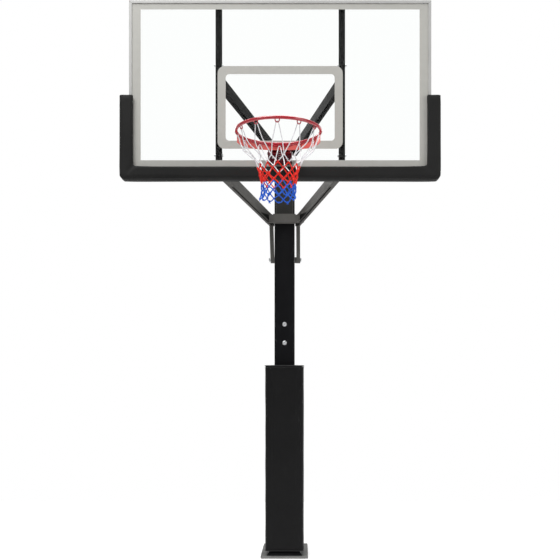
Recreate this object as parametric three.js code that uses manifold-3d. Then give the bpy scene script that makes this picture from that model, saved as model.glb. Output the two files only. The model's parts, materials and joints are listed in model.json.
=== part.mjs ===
// Bolt-down, height-adjustable basketball hoop: a 72 x 42 inch framed glass backboard on a four-arm
// parallelogram lift, a square two-piece pole on a base plate, a breakaway ring with its net, a screw jack
// with a crank behind the pole, and foam pads on the pole and round the board's lower edge.
// Millimetres, +Z up. The origin is on the pole's axis at the underside of the base plate. The board faces -Y.
import * as THREE from "three";
import { mergeVertices } from "three/addons/utils/BufferGeometryUtils.js";
import Module from "manifold-3d";

const wasm = await Module();
wasm.setup();

// ---------------------------------------------------------------- driving dimensions
const GAP = 0.3; // running and seating gap between separate pieces

// base and pole
const BASE_W = 356; // 14 in
const BASE_Y0 = -166;
const BASE_Y1 = 444; // 24 in deep
const BASE_T = 16;
const POLE = 152.4; // 6 in square tube
const POLE_WALL = 4;
const POLE_R = 9;
const SEAM_Z = 1420; // the two pole sections meet here, just under the top of the pad
const POLE_TOP = 2985;
const SLEEVE_Z0 = 1000;
const SLEEVE_Z1 = 1850;
const SPLICE_Z = [1762, 1621];
const PAD_W = 290;
const PAD_Z0 = 47;
const PAD_Z1 = 1452;
const PAD_BORE = 172;

// parallelogram lift
const LOW_Z = 2566; // lower rear pivot
const UP_Z = 3111; // upper rear pivot
const FRONT_Y = -1262; // both front pivots
const LOW_FZ = 2608;
const UP_FZ = 3153;
const LOW_X = 107; // lower arms at the rear pivot
const UP_X = 85; // upper arms at the rear pivot
const STRUT_X = 376;
const ARM_W = 38;
const ARM_H = 76;
const ARM_WALL = 3;

// jack
const TAIL_Y = 278;
const TAIL_Z = 2307;
const JACK_Y = 135;
const JACK_Z = 1500;
const JACK_TRIM = 0.75; // the tube and the rod each lie this many degrees off the line of the two pins at rest

// backboard
const BOARD_W = 1829; // 72 in
const BOARD_H = 1067; // 42 in
const BOARD_Z0 = 2535;
const GLASS_Y = -1386; // front face of the glass
const GLASS_T = 10;
const LIP = 17; // visible width of the frame
const FRAME_Y0 = -1392;
const FRAME_Y1 = -1352;
const BAND = 70; // printed border, measured from the board's outer edge
const BAND_TOP = 54; // its upper side is narrower
const BAND_LOW = 100; // and its lower side wider, for the pad covers most of it
const TARGET_W = 758;
const TARGET_H = 501;
const TARGET_LINE = 49;
const TARGET_Z = 2955;
const STRUT = 38;
const STRUT_Y0 = -1351.7;
const STRUT_Y1 = -1313.7;
const BP_X = 969; // board pad, outer half width
const BP_IN = 886;
const BP_Z0 = 2515;
const BP_IN_Z = 2593;
const BP_Z1 = 3026;
const BP_Y0 = -1413;

// ring
const RING_R = 237.5; // to the middle of the rod: 457 mm inside
const ROD_R = 9;
const RING_Y = -1767;
const RING_Z = 2690;
const HINGE_Y = -1432;
const HINGE_Z = 2664;
// outer radius of the net by height, in two lengths
const NET_UPPER = [
  [2668, 219],
  [2640, 219],
  [2585, 199],
  [2540, 151],
  [2520, 129],
];
const NET_LOWER = [
  [2519.6, 128.5],
  [2465, 111],
  [2390, 95],
  [2353, 94],
  [2306, 97],
];
const NET_WALL = 5;

// ---------------------------------------------------------------- solids
function solid(geometry) {
  const g = geometry.index ? geometry.toNonIndexed() : geometry.clone();
  g.deleteAttribute("normal");
  g.deleteAttribute("uv");
  const m = mergeVertices(g, 1e-4);
  return new wasm.Manifold(
    new wasm.Mesh({
      numProp: 3,
      vertProperties: new Float32Array(m.attributes.position.array),
      triVerts: new Uint32Array(m.index.array),
    }),
  );
}

function toGeometry(manifold) {
  const mesh = manifold.getMesh();
  const n = mesh.numProp;
  const pos = new Float32Array((mesh.vertProperties.length / n) * 3);
  for (let i = 0; i < pos.length / 3; i++)
    for (let k = 0; k < 3; k++) pos[3 * i + k] = mesh.vertProperties[i * n + k];
  const g = new THREE.BufferGeometry();
  g.setAttribute("position", new THREE.BufferAttribute(pos, 3));
  g.setIndex(new THREE.BufferAttribute(new Uint32Array(mesh.triVerts), 1));
  const flat = g.toNonIndexed();
  flat.computeVertexNormals();
  return flat;
}

const box = (x0, x1, y0, y1, z0, z1) =>
  solid(
    new THREE.BoxGeometry(x1 - x0, y1 - y0, z1 - z0).translate(
      (x0 + x1) / 2,
      (y0 + y1) / 2,
      (z0 + z1) / 2,
    ),
  );

// A cylinder along one axis, between two stations, centred on the other two coordinates.
function rod(axis, r, a, b, c1, c2, sides = 20) {
  const g = new THREE.CylinderGeometry(r, r, b - a, sides);
  if (axis === "x") g.rotateZ(-Math.PI / 2).translate((a + b) / 2, c1, c2);
  if (axis === "y") g.translate(c1, (a + b) / 2, c2);
  if (axis === "z") g.rotateX(Math.PI / 2).translate(c1, c2, (a + b) / 2);
  return solid(g);
}

function roundRect(w, h, r) {
  const s = new THREE.Shape();
  const x = w / 2,
    y = h / 2;
  s.moveTo(-x + r, -y);
  s.lineTo(x - r, -y);
  s.absarc(x - r, -y + r, r, -Math.PI / 2, 0);
  s.lineTo(x, y - r);
  s.absarc(x - r, y - r, r, 0, Math.PI / 2);
  s.lineTo(-x + r, y);
  s.absarc(-x + r, y - r, r, Math.PI / 2, Math.PI);
  s.lineTo(-x, -y + r);
  s.absarc(-x + r, -y + r, r, Math.PI, 1.5 * Math.PI);
  return s;
}

// A tube or bar of rounded rectangular section along local Z, from 0 to depth.
function section(w, h, r, wall, depth, curveSegments = 3) {
  const s = roundRect(w, h, r);
  if (wall > 0)
    s.holes.push(
      roundRect(w - 2 * wall, h - 2 * wall, Math.max(r - wall, 0.8)),
    );
  return new THREE.ExtrudeGeometry(s, {
    depth,
    bevelEnabled: false,
    curveSegments,
  });
}

const outline = (points) => {
  const s = new THREE.Shape();
  points.forEach(([x, y], i) => (i ? s.lineTo(x, y) : s.moveTo(x, y)));
  return s;
};

// A flat outline given in (Y, Z), extruded along X from x0 to x1.
function slabX(shape, x0, x1, curveSegments = 6) {
  const g = new THREE.ExtrudeGeometry(shape, {
    depth: x1 - x0,
    bevelEnabled: false,
    curveSegments,
  });
  g.applyMatrix4(
    new THREE.Matrix4().makeBasis(
      new THREE.Vector3(0, 1, 0),
      new THREE.Vector3(0, 0, 1),
      new THREE.Vector3(1, 0, 0),
    ),
  );
  return solid(g.translate(x0, 0, 0));
}

// A flat outline given in (X, Z), extruded along Y from y0 to y1.
function slabY(shape, y0, y1, curveSegments = 6) {
  const g = new THREE.ExtrudeGeometry(shape, {
    depth: y1 - y0,
    bevelEnabled: false,
    curveSegments,
  });
  g.applyMatrix4(
    new THREE.Matrix4().makeBasis(
      new THREE.Vector3(1, 0, 0),
      new THREE.Vector3(0, 0, 1),
      new THREE.Vector3(0, -1, 0),
    ),
  );
  return solid(g.translate(0, y1, 0));
}

// A flat outline given in (X, Y), extruded up from z0 to z1.
const slabZ = (shape, z0, z1, curveSegments = 6) =>
  solid(
    new THREE.ExtrudeGeometry(shape, {
      depth: z1 - z0,
      bevelEnabled: false,
      curveSegments,
    }).translate(0, 0, z0),
  );

const join = (...list) => list.reduce((a, b) => a.add(b));
const cut = (a, ...list) => list.reduce((m, b) => m.subtract(b), a);
const mirrorX = (m) => m.mirror([1, 0, 0]);

const root = new THREE.Group();
root.name = "basketball_hoop";
const groups = {};
for (const name of [
  "pole",
  "lower_arms",
  "upper_arms",
  "backboard",
  "rim",
  "jack_tube",
  "jack_ram",
  "crank",
]) {
  groups[name] = new THREE.Group();
  groups[name].name = name + "_group";
  root.add(groups[name]);
}

const FINISH = {
  pole_black: [0x141416, 0.5, 0.3],
  arm_grey: [0x5b5a56, 0.5, 0.4],
  arm_black: [0x1e1e1f, 0.5, 0.3],
  plate_grey: [0x777775, 0.5, 0.4],
  zinc: [0xb9bcbd, 0.35, 0.9],
  dark_steel: [0x3c3c3c, 0.45, 0.8],
  frame: [0xc9c9c4, 0.4, 0.5],
  marking: [0xbfbeb9, 0.6, 0.0],
  glass: [0xf4f8f8, 0.05, 0.0],
  pad: [0x2c2c2b, 0.75, 0.0],
  red: [0xc01228, 0.35, 0.2],
  net: [0xf0f0f0, 0.9, 0.0],
  grip: [0x1b1b1b, 0.8, 0.0],
};

function add(group, name, manifold, finish) {
  const [color, roughness, metalness] = FINISH[finish];
  const material = new THREE.MeshStandardMaterial({
    color,
    roughness,
    metalness,
  });
  if (finish === "glass") {
    material.transparent = true;
    material.opacity = 0.25;
  }
  const mesh = new THREE.Mesh(toGeometry(manifold), material);
  mesh.name = name;
  groups[group].add(mesh);
}

// ---------------------------------------------------------------- base and pole
{
  const plate = slabZ(
    (() => {
      const s = roundRect(BASE_W, BASE_Y1 - BASE_Y0, 14);
      return s;
    })(),
    0,
    BASE_T,
    2,
  ).translate([0, (BASE_Y0 + BASE_Y1) / 2, 0]);
  const anchors = [
    [-130, 190],
    [130, 190],
    [-130, 400],
    [130, 400],
  ];
  const holes = anchors.map(([x, y]) => rod("z", 11, -5, BASE_T + 5, x, y, 12));
  add("pole", "base_plate", cut(plate, ...holes), "plate_grey");
  anchors.forEach(([x, y], i) => {
    const stud = rod("z", 9.5, 0.4, 52, x, y, 10);
    const washer = rod("z", 19, BASE_T + GAP, BASE_T + 3.3, x, y, 12);
    const nut = rod("z", 16, BASE_T + 3.2, BASE_T + 19, x, y, 6);
    add("pole", "anchor_bolt_" + (i + 1), join(stud, washer, nut), "zinc");
  });

  const collar = solid(
    new THREE.CylinderGeometry(
      117 * Math.SQRT2,
      134 * Math.SQRT2,
      29,
      4,
    )
      .rotateY(Math.PI / 4)
      .rotateX(Math.PI / 2)
      .translate(0, 0, BASE_T + GAP + 14.5),
  );
  add(
    "pole",
    "foot_collar",
    cut(collar, box(-76.7, 76.7, -76.7, 76.7, 0, 60)),
    "pole_black",
  );

  const boltHoles = SPLICE_Z.map((z) => rod("y", 8.4, -100, 100, 0, z, 12));
  const tube = (w, wall, r, z0, z1) =>
    solid(section(w, w, r, wall, z1 - z0, 2).translate(0, 0, z0));
  const pivotHole = rod("x", 12.8, -100, 100, 0, LOW_Z, 14);
  add(
    "pole",
    "lower_pole",
    tube(POLE, POLE_WALL, POLE_R, BASE_T + GAP, SEAM_Z),
    "pole_black",
  );
  add(
    "pole",
    "upper_pole",
    cut(
      tube(POLE, POLE_WALL, POLE_R, SEAM_Z + GAP, POLE_TOP),
      ...boltHoles,
      pivotHole,
    ),
    "pole_black",
  );
  add(
    "pole",
    "splice_sleeve",
    cut(
      tube(POLE - 2 * POLE_WALL - 0.8, 4, 5, SLEEVE_Z0, SLEEVE_Z1),
      ...boltHoles,
    ),
    "dark_steel",
  );
  SPLICE_Z.forEach((z, i) => {
    const shank = rod("y", 7.8, -78, 92, 0, z, 12);
    const head = solid(
      new THREE.LatheGeometry(
        [
          [0, 0],
          [14.5, 0],
          [14, 2.2],
          [11.5, 5],
          [7, 7],
          [0, 7.8],
        ].map((p) => new THREE.Vector2(...p)),
        14,
      ),
    );
    const placed = head.rotate([180, 0, 0]).translate([0, -POLE / 2 - GAP, z]);
    const nut = rod("y", 13, POLE / 2 + GAP, POLE / 2 + 12, 0, z, 6);
    add(
      "pole",
      i ? "splice_bolt_lower" : "splice_bolt_upper",
      join(shank, placed, nut),
      "zinc",
    );
  });

  // capped head bracket that carries the upper pivot
  const cap = slabZ(roundRect(POLE, POLE, POLE_R), POLE_TOP + GAP, POLE_TOP + 8, 3);
  const stub = solid(
    section(100, 100, 6, 0, 3150 - POLE_TOP - 7, 1).translate(0, 0, POLE_TOP + 7),
  );
  const hollow = box(-44, 44, -44, 44, POLE_TOP - 1, 3144);
  add(
    "pole",
    "head_bracket",
    cut(join(cap, stub), hollow, rod("x", 12.8, -60, 60, 0, UP_Z, 14)),
    "pole_black",
  );
  add(
    "pole",
    "head_plate",
    box(-62, 62, -POLE / 2 - 5.3, -POLE / 2 - GAP, 2598, 2978),
    "arm_grey",
  );

  const through = (z, half) =>
    join(
      rod("x", 12, -half, half, 0, z, 14),
      rod("x", 20, half - 0.1, half + 12, 0, z, 6),
      rod("x", 20, -half - 12, -half + 0.1, 0, z, 6),
    );
  add("pole", "lower_pivot_bolt", through(LOW_Z, 134), "zinc");
  add("pole", "upper_pivot_bolt", through(UP_Z, 113), "zinc");

  const padOuter = roundRect(PAD_W, PAD_W, 24);
  padOuter.holes.push(roundRect(PAD_BORE, PAD_BORE, 8));
  add("pole", "pole_pad", slabZ(padOuter, PAD_Z0, PAD_Z1, 2), "pad");

  // jack foot on the back of the pole
  const ear = new THREE.Shape();
  ear.moveTo(82, JACK_Z - 40);
  ear.lineTo(JACK_Y, JACK_Z - 24);
  ear.absarc(JACK_Y, JACK_Z, 24, -Math.PI / 2, Math.PI / 2);
  ear.lineTo(82, JACK_Z + 40);
  const foot = join(
    box(-60, 60, POLE / 2 + GAP, 82.6, JACK_Z - 42, JACK_Z + 60),
    slabX(ear, -44, -36, 3),
    slabX(ear, 36, 44, 3),
  );
  add(
    "pole",
    "jack_bracket",
    cut(foot, rod("x", 10.5, -70, 70, JACK_Y, JACK_Z, 20)),
    "pole_black",
  );
  add(
    "pole",
    "jack_base_pin",
    join(
      rod("x", 10, -50, 50, JACK_Y, JACK_Z, 18),
      rod("x", 15, -50, -45, JACK_Y, JACK_Z, 6),
    ),
    "zinc",
  );
}

// ---------------------------------------------------------------- lift arms
// One arm runs from its rear pivot to the clevis behind the strut; grow thickens it to cut a neighbour.
function arm(rearX, rearZ, frontZ, grow = 0) {
  const R = new THREE.Vector3(-rearX, 0, rearZ);
  const F = new THREE.Vector3(-STRUT_X, FRONT_Y, frontZ);
  const d = F.clone().sub(R);
  const length = d.length();
  d.normalize();
  const x = new THREE.Vector3().crossVectors(d, new THREE.Vector3(0, 0, 1)).normalize();
  const up = new THREE.Vector3().crossVectors(x, d).normalize();
  // basis for a section drawn in (across, up) and extruded along d
  const across = x.clone().negate();
  const frame = new THREE.Matrix4().makeBasis(across, up, new THREE.Vector3().crossVectors(across, up));
  const along = new THREE.Vector3().crossVectors(across, up).dot(d); // -1: local Z points to the rear
  const from = -40,
    to = length - 60;
  const g = section(
    ARM_W + 2 * grow,
    ARM_H + 2 * grow,
    6,
    grow ? 0 : ARM_WALL,
    to - from,
    1,
  );
  const capG = section(ARM_W - 1, ARM_H - 1, 6, 0, 8, 1);
  const start = R.clone().addScaledVector(d, along > 0 ? from : to);
  const capStart = R.clone().addScaledVector(d, along > 0 ? to - 7.5 : to + 0.5);
  const place = (geo, p) => {
    const m = frame.clone();
    m.setPosition(p);
    return solid(geo.applyMatrix4(m));
  };
  let body = place(g, start);
  body = join(body, place(capG, capStart));
  // tongue that enters the clevis, square to the board
  const slope = Math.atan2(frontZ - rearZ, -FRONT_Y);
  const t = new THREE.Shape();
  t.moveTo(75, -27);
  t.lineTo(75, 27);
  t.lineTo(0, 27);
  t.absarc(0, 0, 27, Math.PI / 2, 1.5 * Math.PI);
  t.lineTo(75, -27);
  const tongue = slabX(t, -STRUT_X - 10, -STRUT_X + 10, 3)
    .rotate([(-slope * 180) / Math.PI, 0, 0])
    .translate([0, FRONT_Y, frontZ]);
  // hub at the rear pivot
  const hub = rod("x", 24, -rearX - 22, -rearX + (rearX === LOW_X ? 28 : 32), 0, rearZ, 16);
  body = join(body, tongue, hub);
  if (grow) return body;
  // slot along the underside, beside the inner wall
  const slotL = to - from - 195;
  const slot = new THREE.BoxGeometry(11, 8, slotL).translate(8.5, -ARM_H / 2, 14 + slotL / 2);
  body = cut(body, place(slot, start));
  return cut(
    body,
    rod("x", 12.8, -rearX - 60, -rearX + 60, 0, rearZ, 14),
    rod("x", 10.7, -STRUT_X - 30, -STRUT_X + 30, FRONT_Y, frontZ, 12),
  );
}

const lowerLeft = arm(LOW_X, LOW_Z, LOW_FZ);
const lowerLeftGrown = arm(LOW_X, LOW_Z, LOW_FZ, 0.4);
add("lower_arms", "lower_arm_left", lowerLeft, "arm_grey");
add("lower_arms", "lower_arm_right", mirrorX(lowerLeft), "arm_grey");
const upperLeft = arm(UP_X, UP_Z, UP_FZ);
add("upper_arms", "upper_arm_left", upperLeft, "arm_black");
add("upper_arms", "upper_arm_right", mirrorX(upperLeft), "arm_black");

{
  // spreader between the lower arms, in front of the pole
  const bar = join(
    solid(section(170, 65, 4, 0, 48, 2).rotateX(Math.PI / 2).translate(0, -107, LOW_Z - 15.5)),
    box(-150, 150, -148, -114, LOW_Z - 43, LOW_Z + 12),
  );
  const right = mirrorX(lowerLeftGrown);
  const trimmed = cut(bar, lowerLeftGrown, right);
  // keep the piece between the arms
  add(
    "lower_arms",
    "lower_crossbar",
    trimmed.intersect(box(-118, 118, -200, -60, LOW_Z - 100, LOW_Z + 100)).decompose().sort((a, b) => b.volume() - a.volume())[0],
    "arm_grey",
  );

  // tails: flat bars down and back from the lower pivot to the jack pin
  const dy = TAIL_Y,
    dz = TAIL_Z - LOW_Z;
  const len = Math.hypot(dy, dz);
  const t = new THREE.Shape();
  t.moveTo(0, -25);
  t.lineTo(len, -25);
  t.absarc(len, 0, 25, -Math.PI / 2, Math.PI / 2);
  t.lineTo(0, 25);
  const bar2 = slabX(t, -118, -88, 3)
    .rotate([(Math.atan2(dz, dy) * 180) / Math.PI, 0, 0])
    .translate([0, 0, LOW_Z]);
  const boss = rod("x", 24, -88.1, -31, TAIL_Y, TAIL_Z, 20);
  const tailLeft = cut(
    join(bar2, boss),
    lowerLeftGrown,
    rod("x", 10.5, -140, 0, TAIL_Y, TAIL_Z, 18),
  )
    .decompose()
    .sort((a, b) => b.volume() - a.volume())[0];
  add("lower_arms", "tail_left", tailLeft, "arm_grey");
  add("lower_arms", "tail_right", mirrorX(tailLeft), "arm_grey");
  add(
    "lower_arms",
    "tail_pin",
    join(
      rod("x", 10, -132, 126, TAIL_Y, TAIL_Z, 18),
      rod("x", 16, -132, -122, TAIL_Y, TAIL_Z, 6),
      rod("x", 16, 118.4, 128, TAIL_Y, TAIL_Z, 6),
    ),
    "zinc",
  );
}

// ---------------------------------------------------------------- backboard
const BX = BOARD_W / 2,
  BZ1 = BOARD_Z0 + BOARD_H;
{
  const glass = slabY(
    (() => {
      const s = roundRect(BOARD_W - 12, BOARD_H - 12, 4);
      return s;
    })(),
    GLASS_Y,
    GLASS_Y + GLASS_T,
    2,
  ).translate([0, 0, BOARD_Z0 + BOARD_H / 2]);
  const rimHoles = [-42, 42].map((x) =>
    rod("y", 9, GLASS_Y - 5, GLASS_Y + GLASS_T + 5, x, 2634, 16),
  );
  add("backboard", "glass_panel", cut(glass, ...rimHoles), "glass");

  // frame: four mitred channels that hold the glass in a slot
  const slot = box(
    -BX + 6 - GAP,
    BX - 6 + GAP,
    GLASS_Y - GAP,
    GLASS_Y + GLASS_T + GAP,
    BOARD_Z0 + 6 - GAP,
    BZ1 - 6 + GAP,
  );
  const web = box(-BX + 3, BX - 3, -1372, -1355.5, BOARD_Z0 + 3, BZ1 - 3);
  const m = 0.15;
  const sides = {
    frame_top: [
      [-BX + m, BZ1],
      [BX - m, BZ1],
      [BX - LIP - m, BZ1 - LIP],
      [-BX + LIP + m, BZ1 - LIP],
    ],
    frame_bottom: [
      [-BX + m, BOARD_Z0],
      [-BX + LIP + m, BOARD_Z0 + LIP],
      [BX - LIP - m, BOARD_Z0 + LIP],
      [BX - m, BOARD_Z0],
    ],
    frame_left: [
      [-BX, BOARD_Z0 + m],
      [-BX, BZ1 - m],
      [-BX + LIP, BZ1 - LIP - m],
      [-BX + LIP, BOARD_Z0 + LIP + m],
    ],
    frame_right: [
      [BX, BOARD_Z0 + m],
      [BX - LIP, BOARD_Z0 + LIP + m],
      [BX - LIP, BZ1 - LIP - m],
      [BX, BZ1 - m],
    ],
  };
  for (const [name, pts] of Object.entries(sides))
    add(
      "backboard",
      name,
      cut(slabY(outline(pts), FRAME_Y0, FRAME_Y1), slot, web),
      "frame",
    );

  // printed lines on the glass
  const printY1 = GLASS_Y - GAP,
    printY0 = printY1 - 0.6;
  const band = roundRect(BOARD_W - 2 * LIP - 0.8, BOARD_H - 2 * LIP - 0.8, 1);
  const inX = BOARD_W / 2 - BAND,
    inLow = -BOARD_H / 2 + BAND_LOW,
    inHigh = BOARD_H / 2 - BAND_TOP;
  band.holes.push(outline([[-inX, inLow], [inX, inLow], [inX, inHigh], [-inX, inHigh]]));
  add(
    "backboard",
    "border_marking",
    cut(
      slabY(band, printY0, printY1, 1).translate([0, 0, BOARD_Z0 + BOARD_H / 2]),
      box(-72.5, 72.5, printY0 - 2, printY1 + 2, 2608, 2680),
    ),
    "marking",
  );
  const target = roundRect(TARGET_W, TARGET_H, 43);
  target.holes.push(
    roundRect(TARGET_W - 2 * TARGET_LINE, TARGET_H - 2 * TARGET_LINE, 22),
  );
  add(
    "backboard",
    "target_marking",
    slabY(target, printY0, printY1, 4).translate([0, 0, TARGET_Z]),
    "marking",
  );

  // two vertical struts behind the glass with a clevis at each pivot
  for (const [side, sx] of [
    ["left", -1],
    ["right", 1],
  ]) {
    const strut = solid(
      section(STRUT, STRUT, 4, 2.5, 1047, 2).translate(
        sx * STRUT_X,
        (STRUT_Y0 + STRUT_Y1) / 2,
        2545,
      ),
    );
    add("backboard", "strut_" + side, strut, "arm_black");
    for (const [level, pz] of [
      ["upper", UP_FZ],
      ["lower", LOW_FZ],
    ]) {
      const e = new THREE.Shape();
      e.moveTo(STRUT_Y1 + 5, pz - 34);
      e.lineTo(FRONT_Y, pz - 24);
      e.absarc(FRONT_Y, pz, 24, -Math.PI / 2, Math.PI / 2);
      e.lineTo(STRUT_Y1 + 5, pz + 34);
      const cx = sx * STRUT_X;
      const clevis = cut(
        join(
          box(cx - 19, cx + 19, STRUT_Y1 + GAP, STRUT_Y1 + 6.3, pz - 45, pz + 100),
          slabX(e, cx - 19, cx - 11, 3),
          slabX(e, cx + 11, cx + 19, 3),
        ),
        rod("x", 10.7, cx - 30, cx + 30, FRONT_Y, pz, 12),
      );
      add("backboard", `clevis_${level}_${side}`, clevis, "arm_black");
      add(
        "backboard",
        `front_pin_${level}_${side}`,
        rod("x", 10, cx - 19.5, cx + 19.5, FRONT_Y, pz, 12),
        "zinc",
      );
    }
  }

  // ring support: a beam between the struts behind the frame's lower rail, and a plate behind the glass
  add(
    "backboard",
    "rim_support_beam",
    solid(
      section(44, 34, 4, 3, 2 * (STRUT_X - 19 - GAP), 2)
        .rotateY(Math.PI / 2)
        .rotateX(0)
        .translate(-(STRUT_X - 19 - GAP), -1334, 2566),
    ),
    "arm_black",
  );
  add(
    "backboard",
    "rim_backing_plate",
    cut(
      join(
        box(-64, 64, -1375.7, -1367.7, 2556, 2672),
        box(-64, -56, -1368, -1351.3, 2556, 2585),
        box(56, 64, -1368, -1351.3, 2556, 2585),
      ),
      ...[-42, 42].map((x) => rod("y", 9, -1400, -1340, x, 2634, 16)),
    ),
    "arm_black",
  );
  const housing = cut(
    join(
      box(-71.5, 71.5, -1392.6, -1386.6, 2609, 2678),
      box(-71.5, -65.5, HINGE_Y - 22, -1392, 2611, 2676),
      box(65.5, 71.5, HINGE_Y - 22, -1392, 2611, 2676),
      box(-66, 66, HINGE_Y - 56, -1392, 2609, 2614),
    ),
    rod("x", 6.5, -90, 90, HINGE_Y, HINGE_Z, 16),
    ...[-42, 42].map((x) => rod("y", 9, -1400, -1340, x, 2634, 16)),
  );
  add("backboard", "rim_housing", housing, "red");
  [-42, 42].forEach((x, i) => {
    add(
      "backboard",
      i ? "rim_bolt_right" : "rim_bolt_left",
      join(
        rod("y", 8, -1402, -1356, x, 2634, 16),
        rod("y", 14, -1402, -1392.9, x, 2634, 6),
        rod("y", 14, -1367.4, -1357, x, 2634, 6),
      ),
      "zinc",
    );
  });
  add(
    "backboard",
    "rim_hinge_pin",
    join(
      rod("x", 6, -78, 76, HINGE_Y, HINGE_Z, 16),
      rod("x", 10, -78, -72, HINGE_Y, HINGE_Z, 16),
    ),
    "zinc",
  );

  // pad round the lower edge and up both sides
  const u = outline([
    [-BP_X + 18, BP_Z0],
    [BP_X - 18, BP_Z0],
    [BP_X, BP_Z0 + 18],
    [BP_X, BP_Z1],
    [BP_IN, BP_Z1],
    [BP_IN, BP_IN_Z],
    [-BP_IN, BP_IN_Z],
    [-BP_IN, BP_Z1],
    [-BP_X, BP_Z1],
    [-BP_X, BP_Z0 + 18],
  ]);
  const pad = cut(
    slabY(u, BP_Y0, -1340),
    box(-BX - GAP, BX + GAP, FRAME_Y0 - GAP, FRAME_Y1 + GAP, BOARD_Z0 - GAP, 3300),
    box(-BX + 12, BX - 12, FRAME_Y1 - 5, -1300, BOARD_Z0 + 5, 3300),
    box(-STRUT_X - 24, -STRUT_X + 24, FRAME_Y1 - 5, -1300, BOARD_Z0 + 5, 3300),
    box(STRUT_X - 24, STRUT_X + 24, FRAME_Y1 - 5, -1300, BOARD_Z0 + 5, 3300),
  );
  add("backboard", "board_pad", pad, "pad");
}

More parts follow.
